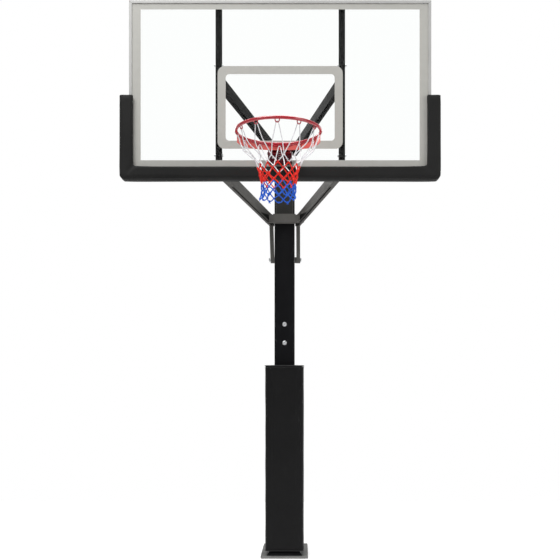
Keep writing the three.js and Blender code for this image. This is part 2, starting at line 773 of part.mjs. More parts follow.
// ---------------------------------------------------------------- ring, brace, neck, spring and net
{
  const ring = solid(
    new THREE.TorusGeometry(RING_R, ROD_R, 8, 48).translate(0, RING_Y, RING_Z),
  );
  // twelve net hooks: short curled rods under the ring, one at the front centre
  let all = ring;
  for (let i = 0; i < 12; i++) {
    const a = (i * Math.PI) / 6 - Math.PI / 2;
    const out = (r, z) =>
      new THREE.Vector3(
        r * Math.cos(a),
        RING_Y + r * Math.sin(a),
        z,
      );
    const path = new THREE.CatmullRomCurve3([
      out(RING_R - 4, RING_Z - 5),
      out(RING_R - 5, RING_Z - 17),
      out(RING_R - 13, RING_Z - 22),
      out(RING_R - 20, RING_Z - 15),
    ]);
    const s = new THREE.Shape();
    for (let k = 0; k < 4; k++) {
      const b = (k * Math.PI) / 2;
      k ? s.lineTo(3 * Math.cos(b), 3 * Math.sin(b)) : s.moveTo(3, 0);
    }
    const hook = solid(
      new THREE.ExtrudeGeometry(s, {
        steps: 3,
        bevelEnabled: false,
        extrudePath: path,
      }),
    );
    all = join(all, hook);
  }

  // neck: hinge barrel, top plate under the ring and two side webs
  const plate = outline([
    [-60, HINGE_Y + 10],
    [-60, HINGE_Y - 30],
    [-95, RING_Y + RING_R - 14],
    [95, RING_Y + RING_R - 14],
    [60, HINGE_Y - 30],
    [60, HINGE_Y + 10],
  ]);
  const top = slabZ(plate, RING_Z - ROD_R - 6.6, RING_Z - ROD_R - 0.6);
  const webShape = outline([
    [HINGE_Y - 4, HINGE_Z - 8],
    [RING_Y + RING_R + 6, RING_Z - ROD_R - 26],
    [RING_Y + RING_R + 6, RING_Z - ROD_R - 6],
    [HINGE_Y - 4, RING_Z - ROD_R - 6],
  ]);
  const neck = cut(
    join(
      top,
      rod("x", 11, -64.5, 64.5, HINGE_Y, HINGE_Z, 18),
      slabX(webShape, -58, -53),
      slabX(webShape, 53, 58),
    ),
    rod("x", 6.4, -90, 90, HINGE_Y, HINGE_Z, 16),
    box(-9, 9, RING_Y + RING_R - 30, RING_Y + RING_R + 3, RING_Z - 40, RING_Z),
  );

  // brace: a curved strip on edge under the rear of the ring, deeper at its ends
  const n = 26,
    a0 = (80 * Math.PI) / 180;
  const P = [];
  for (let i = 0; i <= n; i++) {
    const a = -a0 + (2 * a0 * i) / n;
    const depth = 25 + 15 * Math.min(1, Math.abs(a) / 1.2);
    const zt = RING_Z - ROD_R - 0.4;
    for (const [r, z] of [
      [RING_R - 2.2, zt],
      [RING_R + 2.2, zt],
      [RING_R + 2.2, zt - depth],
      [RING_R - 2.2, zt - depth],
    ])
      P.push([r * Math.sin(a), RING_Y + r * Math.cos(a), z]);
  }
  const idx = [];
  for (let i = 0; i < n; i++)
    for (let k = 0; k < 4; k++) {
      const p = 4 * i + k,
        q = 4 * i + ((k + 1) % 4);
      idx.push(p, p + 4, q, q, p + 4, q + 4);
    }
  idx.push(0, 1, 2, 0, 2, 3);
  const e = 4 * n;
  idx.push(e, e + 2, e + 1, e, e + 3, e + 2);
  const bg = new THREE.BufferGeometry();
  bg.setAttribute("position", new THREE.Float32BufferAttribute(P.flat(), 3));
  bg.setIndex(idx);
  let brace = solid(bg);
  if (brace.volume() < 0) {
    const flipped = [];
    for (let i = 0; i < idx.length; i += 3)
      flipped.push(idx[i], idx[i + 2], idx[i + 1]);
    bg.setIndex(flipped);
    brace = solid(bg);
  }
  const plateGrown = slabZ(
    outline([
      [-60.5, HINGE_Y + 10],
      [-60.5, HINGE_Y - 30],
      [-95.6, RING_Y + RING_R - 15],
      [95.6, RING_Y + RING_R - 15],
      [60.5, HINGE_Y - 30],
      [60.5, HINGE_Y + 10],
    ]),
    RING_Z - ROD_R - 7,
    RING_Z - ROD_R + 2,
  );
  brace = cut(
    brace,
    plateGrown,
    ...[0, 1, 2, 3, 4, 5, 6].map((i) => {
      const a = (i * Math.PI) / 6;
      return rod(
        "z",
        7,
        RING_Z - 30,
        RING_Z - 4,
        (RING_R - 7) * Math.cos(a),
        RING_Y + (RING_R - 7) * Math.sin(a),
        8,
      );
    }),
  )
    .decompose()
    .sort((p, q) => q.volume() - p.volume())[0];
  add("rim", "rim_ring", all, "red");
  add("rim", "rim_neck", neck, "red");
  add("rim", "rim_brace", brace, "red");

  // return spring, standing on the housing's shelf under the neck
  const turns = 4.5,
    z0 = 2616.6,
    z1 = RING_Z - ROD_R - 9.2;
  const coil = [];
  for (let i = 0; i <= turns * 9; i++) {
    const a = (i * 2 * Math.PI) / 9;
    coil.push(
      new THREE.Vector3(
        12 * Math.cos(a),
        HINGE_Y - 38 + 12 * Math.sin(a),
        z0 + ((z1 - z0) * i) / (turns * 9),
      ),
    );
  }
  const wire = new THREE.Shape();
  for (let k = 0; k < 5; k++) {
    const b = (k * 2 * Math.PI) / 5;
    k ? wire.lineTo(2 * Math.cos(b), 2 * Math.sin(b)) : wire.moveTo(2, 0);
  }
  add(
    "rim",
    "rim_spring",
    solid(
      new THREE.ExtrudeGeometry(wire, {
        steps: 34,
        bevelEnabled: false,
        extrudePath: new THREE.CatmullRomCurve3(coil),
      }),
    ),
    "zinc",
  );

  const netPart = (outline) => {
    const profile = [
      ...outline.map(([z, r]) => new THREE.Vector2(r, z)),
      ...[...outline].reverse().map(([z, r]) => new THREE.Vector2(r - NET_WALL, z)),
    ];
    profile.push(profile[0].clone());
    let g = solid(new THREE.LatheGeometry(profile, 24));
    if (g.volume() < 0) g = solid(new THREE.LatheGeometry([...profile].reverse(), 24));
    return g.rotate([90, 0, 0]).translate([0, RING_Y, 0]);
  };
  let netTop = netPart(NET_UPPER);
  // the loops of the net pass round the hooks
  for (let i = 0; i < 12; i++) {
    const a = (i * Math.PI) / 6 - Math.PI / 2;
    netTop = cut(
      netTop,
      rod(
        "z",
        14,
        RING_Z - 34,
        RING_Z,
        (RING_R - 10) * Math.cos(a),
        RING_Y + (RING_R - 10) * Math.sin(a),
        8,
      ),
    );
  }
  add("rim", "net_upper", netTop, "net");
  add("rim", "net_lower", netPart(NET_LOWER), "net");
}

// ---------------------------------------------------------------- jack and crank
{
  const lean =
    (Math.atan2(TAIL_Y - JACK_Y, TAIL_Z - JACK_Z) * 180) / Math.PI;
  const eye = (r, half) => rod("x", r, -half, half, 0, 0, 16);
  const tube = cut(
    join(
      solid(section(64, 76, 6, 4, 430, 1).translate(0, 0, 50)),
      solid(section(68, 84, 6, 0, 84, 1).translate(0, 0, 22)),
      eye(24, 34),
      rod("y", 16, 30, 62, 0, 58, 18),
    ),
    rod("x", 10.5, -60, 60, 0, 0, 20),
    box(-28, 28, -34, 34, 90, 600),
  )
    .rotate([-(lean - JACK_TRIM), 0, 0])
    .translate([0, JACK_Y, JACK_Z]);
  add("jack_tube", "jack_tube", tube, "dark_steel");
  const ram = cut(
    join(rod("z", 15, -560, 0, 0, 0, 20), eye(26, 29)),
    rod("x", 10.5, -60, 60, 0, 0, 20),
  )
    .rotate([-(lean - JACK_TRIM), 0, 0])
    .translate([0, TAIL_Y, TAIL_Z]);
  add("jack_ram", "jack_ram", ram, "zinc");

  // crank: shaft straight back from the gearbox, arm hanging down, grip on its end
  const cy = 205,
    cz = 1549;
  const crank = join(
    rod("y", 7, cy + 8, cy + 42, 0, cz, 16),
    box(-11, 11, cy + 32, cy + 42, cz - 155, cz + 14),
    rod("y", 6, cy + 42, cy + 150, 0, cz - 145, 16),
    rod("y", 15, cy + 146, cy + 150, 0, cz - 145, 16),
  );
  add("crank", "crank_handle", crank, "dark_steel");
  const grip = solid(
    new THREE.LatheGeometry(
      [
        [6.6, 0],
        [13, 0],
        [15, 8],
        [15, 45],
        [16.5, 70],
        [15, 96],
        [6.6, 96],
        [6.6, 0],
      ].map((p) => new THREE.Vector2(...p)),
      18,
    ),
  ).translate([0, cy + 46, cz - 145]);
  add("crank", "crank_grip", grip, "grip");
}

export default root;
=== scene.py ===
import json
import math
import random

import bmesh
import bpy
import numpy as np
from mathutils import Matrix, Vector


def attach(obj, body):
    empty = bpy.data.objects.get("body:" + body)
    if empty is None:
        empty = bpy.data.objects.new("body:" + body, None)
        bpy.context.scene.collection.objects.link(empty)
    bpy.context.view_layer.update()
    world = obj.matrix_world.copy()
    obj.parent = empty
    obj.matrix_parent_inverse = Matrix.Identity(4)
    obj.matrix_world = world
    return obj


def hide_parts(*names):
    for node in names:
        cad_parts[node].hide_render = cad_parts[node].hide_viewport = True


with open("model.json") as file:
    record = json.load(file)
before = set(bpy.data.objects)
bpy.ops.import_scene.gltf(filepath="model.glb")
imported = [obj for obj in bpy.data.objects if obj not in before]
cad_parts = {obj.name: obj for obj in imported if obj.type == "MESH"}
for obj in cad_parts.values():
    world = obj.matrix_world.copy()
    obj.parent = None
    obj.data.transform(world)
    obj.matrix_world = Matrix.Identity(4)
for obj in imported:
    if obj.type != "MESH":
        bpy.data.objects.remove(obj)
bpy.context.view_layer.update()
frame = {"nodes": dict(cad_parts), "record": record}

random.seed(7)
rng = np.random.default_rng(7)
scene = bpy.context.scene
nodes = frame["nodes"]
record = frame["record"]

# ------------------------------------------------------------------ camera, light, floor
cam_data = bpy.data.cameras.new("camera")
cam_data.lens = 55.09
cam_data.sensor_width = 36.0
cam_data.shift_x = -0.0389
cam_data.shift_y = 0.2196
cam_data.clip_end = 200
camera = bpy.data.objects.new("camera", cam_data)
scene.collection.objects.link(camera)
camera.location = (0.131, -6.576, 1.165)
camera.rotation_euler = (math.radians(90), 0, 0)
scene.camera = camera

scene.view_settings.view_transform = "Standard"
scene.view_settings.look = "None"

world = bpy.data.worlds.new("studio")
scene.world = world
world.use_nodes = True
wn, wl = world.node_tree.nodes, world.node_tree.links
sky = wn["Background"]
sky.inputs[0].default_value = (1, 1, 1, 1)
sky.inputs[1].default_value = 1.0
room = wn.new("ShaderNodeBackground")
room.inputs[0].default_value = (1, 1, 1, 1)
room.inputs[1].default_value = 0.34
# a white sweep is what one sees, straight or through the glass; the room lights the part more softly
path = wn.new("ShaderNodeLightPath")
seen = wn.new("ShaderNodeMath")
seen.operation = "MAXIMUM"
wl.new(path.outputs["Is Camera Ray"], seen.inputs[0])
wl.new(path.outputs["Is Transmission Ray"], seen.inputs[1])
pick = wn.new("ShaderNodeMixShader")
wl.new(seen.outputs[0], pick.inputs[0])
wl.new(room.outputs[0], pick.inputs[1])
wl.new(sky.outputs[0], pick.inputs[2])
wl.new(pick.outputs[0], wn["World Output"].inputs["Surface"])


def area_light(name, loc, target, size, power, size_y=None):
    d = bpy.data.lights.new(name, "AREA")
    d.energy = power
    d.shape = "RECTANGLE"
    d.size = size
    d.size_y = size_y or size
    o = bpy.data.objects.new(name, d)
    scene.collection.objects.link(o)
    o.location = loc
    o.rotation_mode = "QUATERNION"
    o.rotation_quaternion = (Vector(target) - Vector(loc)).to_track_quat("-Z", "Y")
    return o


area_light("key", (-2.4, -4.3, 7.3), (0, -0.6, 2.0), 3.0, 300)
area_light("fill", (4.4, -4.4, 2.6), (0, -0.8, 2.0), 3.0, 85)
area_light("top", (0.4, -0.6, 7.6), (0, -0.8, 0), 4.0, 260)
area_light("back_left", (-3.6, 4.6, 4.4), (0, -0.4, 2.2), 2.6, 90)
area_light("back_right", (3.8, 4.2, 3.2), (0, -0.4, 2.0), 2.6, 60)


def nodes_of(mat):
    return mat.node_tree.nodes, mat.node_tree.links


# ------------------------------------------------------------------ materials
def base_material(name):
    m = bpy.data.materials.new(name)
    m.use_nodes = True
    n, l = nodes_of(m)
    bsdf = n["Principled BSDF"]
    return m, n, l, bsdf


def noise_tex(n, l, coord, scale, detail=3.0, rough=0.5, distortion=0.0, stretch=None):
    t = n.new("ShaderNodeTexNoise")
    t.inputs["Scale"].default_value = scale
    t.inputs["Detail"].default_value = detail
    t.inputs["Roughness"].default_value = rough
    t.inputs["Distortion"].default_value = distortion
    src = coord
    if stretch:
        mp = n.new("ShaderNodeMapping")
        mp.inputs["Scale"].default_value = stretch
        l.new(coord, mp.inputs["Vector"])
        src = mp.outputs["Vector"]
    l.new(src, t.inputs["Vector"])
    return t.outputs["Fac"]


def ramp(n, l, fac, stops, interpolation="LINEAR"):
    r = n.new("ShaderNodeValToRGB")
    r.color_ramp.interpolation = interpolation
    els = r.color_ramp.elements
    els[0].position, els[0].color = stops[0][0], (*stops[0][1], 1)
    els[1].position, els[1].color = stops[-1][0], (*stops[-1][1], 1)
    for p, c in stops[1:-1]:
        e = els.new(p)
        e.color = (*c, 1)
    l.new(fac, r.inputs["Fac"])
    return r.outputs["Color"]


def to_range(n, l, fac, a, b, lo, hi):
    m = n.new("ShaderNodeMapRange")
    m.inputs["From Min"].default_value = a
    m.inputs["From Max"].default_value = b
    m.inputs["To Min"].default_value = lo
    m.inputs["To Max"].default_value = hi
    l.new(fac, m.inputs["Value"])
    return m.outputs["Result"]


def bump(n, l, height, strength, distance, normal=None):
    b = n.new("ShaderNodeBump")
    b.inputs["Strength"].default_value = strength
    b.inputs["Distance"].default_value = distance
    l.new(height, b.inputs["Height"])
    if normal is not None:
        l.new(normal, b.inputs["Normal"])
    return b.outputs["Normal"]


def scaled(c, k):
    return tuple(min(1.0, x * k) for x in c)


def powder_coat(name, color, rough=0.42, peel=420.0, metallic=0.0, coat=0.0, dust=(0.25, 0.25, 0.24), dust_amount=0.06, specular=0.5):
    """Powder coat: orange peel, faint cloudiness in colour and gloss, a little dust in scattered specks."""
    m, n, l, b = base_material(name)
    c = n.new("ShaderNodeTexCoord").outputs["Object"]
    cloud = noise_tex(n, l, c, 5.0, 4, 0.6)
    col = ramp(n, l, cloud, [(0.3, scaled(color, 0.86)), (0.52, color), (0.75, scaled(color, 1.16))])
    specks = noise_tex(n, l, c, 260.0, 2, 0.7)
    dusty = to_range(n, l, specks, 0.56, 0.74, 0.0, dust_amount)
    mix = n.new("ShaderNodeMix")
    mix.data_type = "RGBA"
    l.new(dusty, mix.inputs["Factor"])
    l.new(col, mix.inputs["A"])
    mix.inputs["B"].default_value = (*dust, 1)
    l.new(mix.outputs["Result"], b.inputs["Base Color"])
    l.new(to_range(n, l, noise_tex(n, l, c, 14.0, 5, 0.65), 0.3, 0.7, rough - 0.05, rough + 0.07), b.inputs["Roughness"])
    fine = noise_tex(n, l, c, peel, 2, 0.5)
    l.new(bump(n, l, fine, 0.16, 0.0004), b.inputs["Normal"])
    b.inputs["Metallic"].default_value = metallic
    b.inputs["Specular IOR Level"].default_value = specular
    if coat:
        b.inputs["Coat Weight"].default_value = coat
        b.inputs["Coat Roughness"].default_value = 0.12
    return m


def zinc(name, color=(0.56, 0.57, 0.58), rough=0.34):
    """Bright zinc plating: spangled, slightly blotched."""
    m, n, l, b = base_material(name)
    c = n.new("ShaderNodeTexCoord").outputs["Object"]
    v = n.new("ShaderNodeTexVoronoi")
    v.inputs["Scale"].default_value = 170.0
    l.new(c, v.inputs["Vector"])
    spangle = to_range(n, l, v.outputs["Distance"], 0.0, 1.0, 0.0, 1.0)
    col = ramp(n, l, spangle, [(0.0, scaled(color, 0.8)), (0.5, color), (1.0, scaled(color, 1.15))])
    l.new(col, b.inputs["Base Color"])
    l.new(to_range(n, l, noise_tex(n, l, c, 60.0, 4, 0.6), 0.3, 0.7, rough - 0.08, rough + 0.1), b.inputs["Roughness"])
    l.new(bump(n, l, noise_tex(n, l, c, 600.0, 2, 0.5), 0.1, 0.0002), b.inputs["Normal"])
    b.inputs["Metallic"].default_value = 1.0
    return m


def foam_skin(name, color, rough=0.62, pebble=330.0):
    """Matt integral-skin foam: pebbled grain, scuffs, a dusty sheen."""
    m, n, l, b = base_material(name)
    c = n.new("ShaderNodeTexCoord").outputs["Object"]
    cloud = noise_tex(n, l, c, 3.5, 5, 0.6)
    col = ramp(n, l, cloud, [(0.25, scaled(color, 0.84)), (0.5, color), (0.8, scaled(color, 1.2))])
    l.new(col, b.inputs["Base Color"])
    v = n.new("ShaderNodeTexVoronoi")
    v.feature = "SMOOTH_F1"
    v.inputs["Scale"].default_value = pebble
    l.new(c, v.inputs["Vector"])
    grain = v.outputs["Distance"]
    scuff = noise_tex(n, l, c, 9.0, 6, 0.7, 0.6)
    l.new(to_range(n, l, scuff, 0.35, 0.72, rough - 0.07, rough + 0.1), b.inputs["Roughness"])
    n1 = bump(n, l, grain, 0.32, 0.0005)
    n2 = bump(n, l, noise_tex(n, l, c, 22.0, 3, 0.55), 0.12, 0.003, n1)
    l.new(n2, b.inputs["Normal"])
    b.inputs["Sheen Weight"].default_value = 0.03
    b.inputs["Sheen Roughness"].default_value = 0.5
    b.inputs["Specular IOR Level"].default_value = 0.12
    return m


def ink(name, color, rough=0.55):
    """Screen-printed ink on glass: even, with faint pinholes."""
    m, n, l, b = base_material(name)
    c = n.new("ShaderNodeTexCoord").outputs["Object"]
    mott = noise_tex(n, l, c, 18.0, 4, 0.6)
    col = ramp(n, l, mott, [(0.3, scaled(color, 0.965)), (0.7, scaled(color, 1.03))])
    l.new(col, b.inputs["Base Color"])
    l.new(to_range(n, l, noise_tex(n, l, c, 120.0, 3, 0.5), 0.3, 0.7, rough - 0.05, rough + 0.06), b.inputs["Roughness"])
    l.new(bump(n, l, noise_tex(n, l, c, 900.0, 2, 0.5), 0.05, 0.0001), b.inputs["Normal"])
    return m


def anodised(name, color, rough=0.52):
    """Extruded aluminium, satin anodised: fine die lines along the rail."""
    m, n, l, b = base_material(name)
    c = n.new("ShaderNodeTexCoord").outputs["Object"]
    lines = noise_tex(n, l, c, 260.0, 2, 0.5, 0.0, (0.02, 1.0, 1.0))
    lines2 = noise_tex(n, l, c, 260.0, 2, 0.5, 0.0, (1.0, 1.0, 0.02))
    mix = n.new("ShaderNodeMath")
    mix.operation = "MINIMUM"
    l.new(lines, mix.inputs[0])
    l.new(lines2, mix.inputs[1])
    cloud = noise_tex(n, l, c, 6.0, 3, 0.5)
    col = ramp(n, l, cloud, [(0.3, scaled(color, 0.95)), (0.7, scaled(color, 1.04))])
    l.new(col, b.inputs["Base Color"])
    l.new(to_range(n, l, mix.outputs[0], 0.3, 0.7, rough - 0.06, rough + 0.1), b.inputs["Roughness"])
    l.new(bump(n, l, mix.outputs[0], 0.08, 0.0003), b.inputs["Normal"])
    b.inputs["Metallic"].default_value = 0.15
    return m


def glass_material(name):
    m, n, l, b = base_material(name)
    b.inputs["Base Color"].default_value = (0.985, 1.0, 0.992, 1)
    b.inputs["Transmission Weight"].default_value = 1.0
    b.inputs["IOR"].default_value = 1.22
    c = n.new("ShaderNodeTexCoord").outputs["Object"]
    l.new(to_range(n, l, noise_tex(n, l, c, 3.0, 4, 0.6), 0.3, 0.8, 0.0, 0.015), b.inputs["Roughness"])
    return m


def rope(name, color, rough=0.85):
    """Polyester net cord: fibre fuzz and uneven tone."""
    m, n, l, b = base_material(name)
    c = n.new("ShaderNodeTexCoord").outputs["Object"]
    cl = noise_tex(n, l, c, 30.0, 4, 0.6)
    col = ramp(n, l, cl, [(0.3, scaled(color, 0.82)), (0.6, color), (0.85, scaled(color, 1.1))])
    l.new(col, b.inputs["Base Color"])
    l.new(to_range(n, l, cl, 0.3, 0.7, rough - 0.06, min(1.0, rough + 0.08)), b.inputs["Roughness"])
    l.new(bump(n, l, noise_tex(n, l, c, 1400.0, 3, 0.6), 0.35, 0.0004), b.inputs["Normal"])
    b.inputs["Sheen Weight"].default_value = 0.05
    b.inputs["Sheen Roughness"].default_value = 0.4
    b.inputs["Subsurface Weight"].default_value = 0.0
    return m


MAT = {
    "pole_black": powder_coat("pole_black", (0.0042, 0.0042, 0.0052), 0.42, specular=0.12, dust_amount=0.02),
    "arm_grey": powder_coat("arm_grey", (0.088, 0.085, 0.080), 0.62, dust_amount=0.08, specular=0.12),
    "arm_black": powder_coat("arm_black", (0.005, 0.005, 0.005), 0.6, specular=0.06, dust_amount=0.02),
    "plate_grey": powder_coat("plate_grey", (0.17, 0.17, 0.166), 0.5, dust=(0.4, 0.39, 0.37), dust_amount=0.16),
    "zinc": zinc("zinc"),
    "dark_steel": powder_coat("dark_steel", (0.03, 0.03, 0.032), 0.45, specular=0.3),
    "frame": anodised("frame", (0.46, 0.46, 0.45)),
    "marking": ink("marking", (0.44, 0.435, 0.405)),
    "glass": glass_material("glass"),
    "pad": foam_skin("pad", (0.0158, 0.0158, 0.0155)),
    "red": powder_coat("red", (0.42, 0.005, 0.018), 0.26, coat=0.6, dust_amount=0.02),
    "net": rope("net_white", (0.86, 0.86, 0.88)),
    "grip": foam_skin("grip", (0.016, 0.016, 0.016), 0.7, 700.0),
}
MAT["net_red"] = rope("net_red", (0.85, 0.016, 0.004))
MAT["net_blue"] = rope("net_blue", (0.012, 0.125, 0.68))
MAT["pad_pole"] = foam_skin("pad_pole", (0.0068, 0.0068, 0.0071), 0.62, 420.0)
MAT["binding"] = rope("pad_binding", (0.016, 0.016, 0.0165), 0.75)
MAT["pad_thread"] = rope("pad_thread", (0.06, 0.06, 0.06))
MAT["head_grey"] = powder_coat("head_grey", (0.027, 0.0265, 0.025), 0.6, specular=0.12, dust_amount=0.03)
# the rim housing is red powder coat like the ring; this dark maroon copy of the red is painted shade, for the shadow
# under the ring
MAT["housing"] = powder_coat("housing_red_painted_shade", (0.075, 0.0015, 0.009), 0.38, coat=0.1, dust_amount=0.02, specular=0.3)
# the brace is red powder coat; this lighter salmon copy of the red is a painted highlight, for its lit front face
MAT["brace"] = powder_coat("brace_red_painted_highlight", (0.72, 0.115, 0.095), 0.36, coat=0.2, dust_amount=0.03)
MAT["weld"] = powder_coat("weld_black", (0.007, 0.007, 0.007), 0.35, 900.0)
MAT["weld_grey"] = powder_coat("weld_grey", (0.075, 0.073, 0.067), 0.36, 900.0)
MAT["cap"] = foam_skin("plastic_cap", (0.012, 0.012, 0.012), 0.5, 900.0)
MAT["bushing"] = foam_skin("bushing", (0.3, 0.29, 0.26), 0.5, 900.0)

slot_of = {s["node"]: s["material_slot"] for s in record["subparts"]}


# ------------------------------------------------------------------ CAD nodes: finish and rounded edges
BEVEL = {
    "base_plate": 1.6, "foot_collar": 2.0, "lower_pole": 0.0, "upper_pole": 0.0, "head_bracket": 1.5, "head_plate": 1.0,
    "lower_crossbar": 1.6, "tail_left": 1.8, "tail_right": 1.8, "lower_arm_left": 1.2, "lower_arm_right": 1.2,
    "upper_arm_left": 1.2, "upper_arm_right": 1.2, "strut_left": 0.0, "strut_right": 0.0,
    "frame_top": 0.7, "frame_bottom": 0.7, "frame_left": 0.7, "frame_right": 0.7,
    "clevis_upper_left": 1.0, "clevis_upper_right": 1.0, "clevis_lower_left": 1.0, "clevis_lower_right": 1.0,
    "rim_housing": 1.0, "rim_neck": 1.0, "rim_backing_plate": 1.0, "jack_bracket": 1.2, "jack_tube": 1.4,
    "crank_handle": 1.2, "rim_support_beam": 0.0,
}
for name, o in nodes.items():
    m = MAT[{"rim_housing": "housing", "rim_brace": "brace", "head_plate": "head_grey"}.get(name, slot_of[name])]
    o.data.materials.clear()
    o.data.materials.append(m)
    for p in o.data.polygons:
        p.material_index = 0
    if name in ("glass_panel", "border_marking", "target_marking", "net", "net_upper", "net_lower", "board_pad", "pole_pad"):
        continue
    weld = o.modifiers.new("weld", "WELD")
    weld.merge_threshold = 2e-5
    dec = o.modifiers.new("flat", "DECIMATE")
    dec.decimate_type = "DISSOLVE"
    dec.angle_limit = math.radians(0.6)
    o.data.polygons.foreach_set("use_smooth", [True] * len(o.data.polygons))
    w = BEVEL.get(name, 0.8)
    bev = o.modifiers.new("edges", "BEVEL")
    bev.width = max(w, 0.5) / 1000
    bev.segments = 2
    bev.limit_method = "ANGLE"
    bev.angle_limit = math.radians(32)
    bev.harden_normals = False
    bev.use_clamp_overlap = True
    wn_mod = o.modifiers.new("normals", "WEIGHTED_NORMAL")
    wn_mod.mode = "FACE_AREA"
    wn_mod.weight = 100
    wn_mod.keep_sharp = True


# ------------------------------------------------------------------ mesh helpers
def make(name, verts, faces, body, mats, smooth=True, face_mats=None):
    me = bpy.data.meshes.new(name)
    me.from_pydata([tuple(v) for v in verts], [], faces)
    me.update()
    for m in mats if isinstance(mats, (list, tuple)) else [mats]:
        me.materials.append(m)
    if face_mats is not None:
        me.polygons.foreach_set("material_index", face_mats)
    if smooth:
        me.polygons.foreach_set("use_smooth", [True] * len(me.polygons))
    o = bpy.data.objects.new(name, me)
    scene.collection.objects.link(o)
    if body:
        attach(o, body)
    return o


def frames_along(pts, closed=False):
    """Parallel-transported normals and binormals along a polyline."""
    p = np.asarray(pts, float)
    if closed:
        t = np.roll(p, -1, 0) - np.roll(p, 1, 0)
    else:
        t = np.gradient(p, axis=0)
    t /= np.linalg.norm(t, axis=1)[:, None] + 1e-12
    a = np.array([0, 0, 1.0]) if abs(t[0][2]) < 0.9 else np.array([1.0, 0, 0])
    n = np.cross(t[0], a)
    n /= np.linalg.norm(n)
    N = [n]
    for i in range(1, len(p)):
        n = N[-1] - t[i] * (N[-1] @ t[i])
        n /= np.linalg.norm(n) + 1e-12
        N.append(n)
    N = np.array(N)
    return p, t, N, np.cross(t, N)


def tube_mesh(pts, radius, sides=8, closed=False, lobes=0, twist=0.0, lobe=0.12, caps=True, round_cap=False):
    """Vertices and faces of a tube along a polyline; lobes give it the twisted strands of a cord."""
    p, t, N, B = frames_along(pts, closed)
    n = len(p)
    r = np.broadcast_to(np.asarray(radius, float), (n,))
    s = np.concatenate([[0], np.cumsum(np.linalg.norm(np.diff(p, axis=0), axis=1))])
    ang = np.arange(sides) * 2 * math.pi / sides
    V, F = [], []
    for i in range(n):
        rr = r[i] * (1 + (lobe * np.cos(lobes * (ang - twist * s[i])) if lobes else 0 * ang))
        V.extend(p[i] + rr[:, None] * (np.cos(ang)[:, None] * N[i] + np.sin(ang)[:, None] * B[i]))
    last = n if closed else n - 1
    for i in range(last):
        j = (i + 1) % n
        for k in range(sides):
            q = (k + 1) % sides
            F.append((i * sides + k, i * sides + q, j * sides + q, j * sides + k))
    if not closed and caps:
        F.append(tuple(range(sides - 1, -1, -1)))
        F.append(tuple((n - 1) * sides + k for k in range(sides)))
    return V, F


def merge(parts):
    """Joins (verts, faces, material) triples into one vertex and face list."""
    V, F, M = [], [], []
    for v, f, m in parts:
        o = len(V)
        V.extend(v)
        F.extend(tuple(i + o for i in q) for q in f)
        M.extend([m] * len(f))
    return V, F, M


def lathe_mesh(profile, axis_point, axis, sides=32):
    """Solid of revolution: profile is (radius, height) pairs that start and end on the axis."""
    a = Vector(axis).normalized()
    u = a.orthogonal().normalized()
    w = a.cross(u)
    o = Vector(axis_point)
    V, F, rings = [], [], []
    for r, h in profile:
        if r < 1e-7:
            rings.append([len(V)])
            V.append(o + a * h)
        else:
            rings.append(list(range(len(V), len(V) + sides)))
            for k in range(sides):
                b = 2 * math.pi * k / sides
                V.append(o + a * h + (u * math.cos(b) + w * math.sin(b)) * r)
    for A, B in zip(rings, rings[1:]):
        for k in range(sides):
            q = (k + 1) % sides
            if len(A) == 1 and len(B) == 1:
                continue
            if len(A) == 1:
                F.append((A[0], B[k], B[q]))
            elif len(B) == 1:
                F.append((A[k], B[0], A[q]))
            else:
                F.append((A[k], B[k], B[q], A[q]))
    F = [tuple(reversed(f)) for f in F]
    return V, F


def hex_mesh(point, axis, across, height, washer=True, turn=0.0):
    """Hex nut or bolt head with chamfered corners, standing on its seat along axis, and a washer under it."""
    a = Vector(axis).normalized()
    u = a.orthogonal().normalized()
    w = a.cross(u)
    o = Vector(point)
    R = across / math.sqrt(3)
    r_in = across / 2 * 0.95
    wash = across * 0.09 if washer else 0.0
    V, F = [], []

    def ring(radius_fn, h, count=24):
        start = len(V)
        for k in range(count):
            b = 2 * math.pi * k / count + turn
            rr = radius_fn(b - turn)
            V.append(o + a * h + (u * math.cos(b) + w * math.sin(b)) * rr)
        return list(range(start, start + count))

    def hexr(b):
        s = math.pi / 3
        k = (b % s) - s / 2
        return (across / 2) / math.cos(k)

    def capr(b):
        return min(hexr(b), across / 2 * 1.02)

    rings = []
    if washer:
        rings += [ring(lambda b: across * 0.62, 0.0), ring(lambda b: across * 0.64, wash * 0.3), ring(lambda b: across * 0.62, wash)]
    rings += [ring(hexr, wash), ring(hexr, wash + height * 0.84), ring(capr, wash + height * 0.93), ring(lambda b: across * 0.4, wash + height)]
    for A, B in zip(rings, rings[1:]):
        for k in range(24):
            q = (k + 1) % 24
            F.append((A[k], A[q], B[q], B[k]))
    F.append(tuple(reversed(rings[0])))
    F.append(tuple(rings[-1]))
    return V, F


def thread_mesh(start, axis, radius, length, pitch=0.0025, depth=0.0011, sides=20):
    """A threaded stud: a helical ridge drawn as a screw surface, with a pointed end."""
    a = Vector(axis).normalized()
    u = a.orthogonal().normalized()
    w = a.cross(u)
    o = Vector(start)
    rows = int(length / (pitch / 4))
    V, F = [], []
    for i in range(rows + 1):
        h = length * i / rows
        for k in range(sides):
            b = 2 * math.pi * k / sides
            ph = (h / pitch - k / sides) % 1.0
            rr = radius - depth * abs(2 * ph - 1)
            if h > length - 0.003:
                rr *= 1 - 0.28 * (h - length + 0.003) / 0.003
            V.append(o + a * h + (u * math.cos(b) + w * math.sin(b)) * rr)
    for i in range(rows):
        for k in range(sides):
            q = (k + 1) % sides
            F.append((i * sides + k, i * sides + q, (i + 1) * sides + q, (i + 1) * sides + k))
    F.append(tuple(range(sides - 1, -1, -1)))
    F.append(tuple(rows * sides + k for k in range(sides)))
    return V, F


def clean(o, dist=1e-5):
    bm = bmesh.new()
    bm.from_mesh(o.data)
    bmesh.ops.remove_doubles(bm, verts=bm.verts, dist=dist)
    bmesh.ops.recalc_face_normals(bm, faces=bm.faces)
    bm.to_mesh(o.data)
    bm.free()
    o.data.update()
    return o


